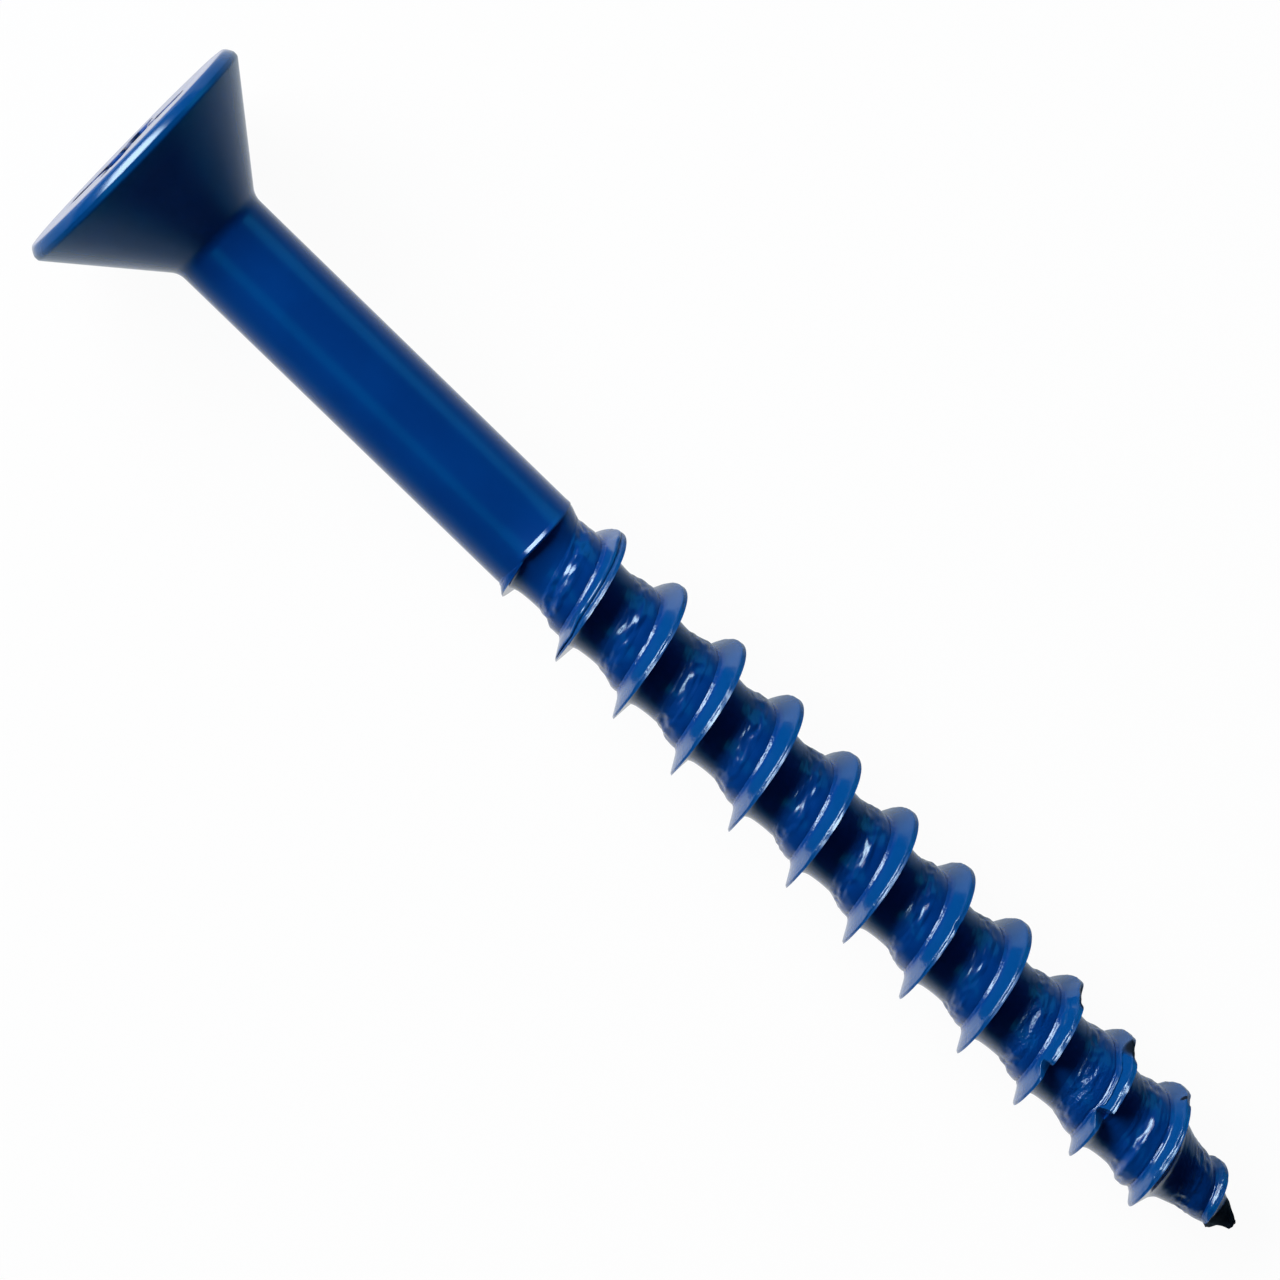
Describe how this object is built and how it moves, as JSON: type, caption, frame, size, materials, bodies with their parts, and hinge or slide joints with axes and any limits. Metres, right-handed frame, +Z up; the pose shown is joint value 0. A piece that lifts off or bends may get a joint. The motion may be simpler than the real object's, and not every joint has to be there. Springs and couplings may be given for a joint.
{
  "type": "concrete screw",
  "caption": "Flat-head concrete screw with a cross recess, a plain shank and a coarse right-hand cutting thread that runs into a short point, with a blue coating.",
  "frame": {"origin": "on the floor, under the middle of the box that holds the screw as it lies", "axes": "+Z up, +X from the head towards the point as seen from above; the axis of the screw slopes down about 3 degrees towards the point"},
  "size_m": [0.07, 0.0126, 0.0125],
  "materials": {
    "blue_coating": "glossy baked coating over carbon steel"
  },
  "bodies": {
    "root": {"screw": "blue_coating"}
  },
  "joints": []
}
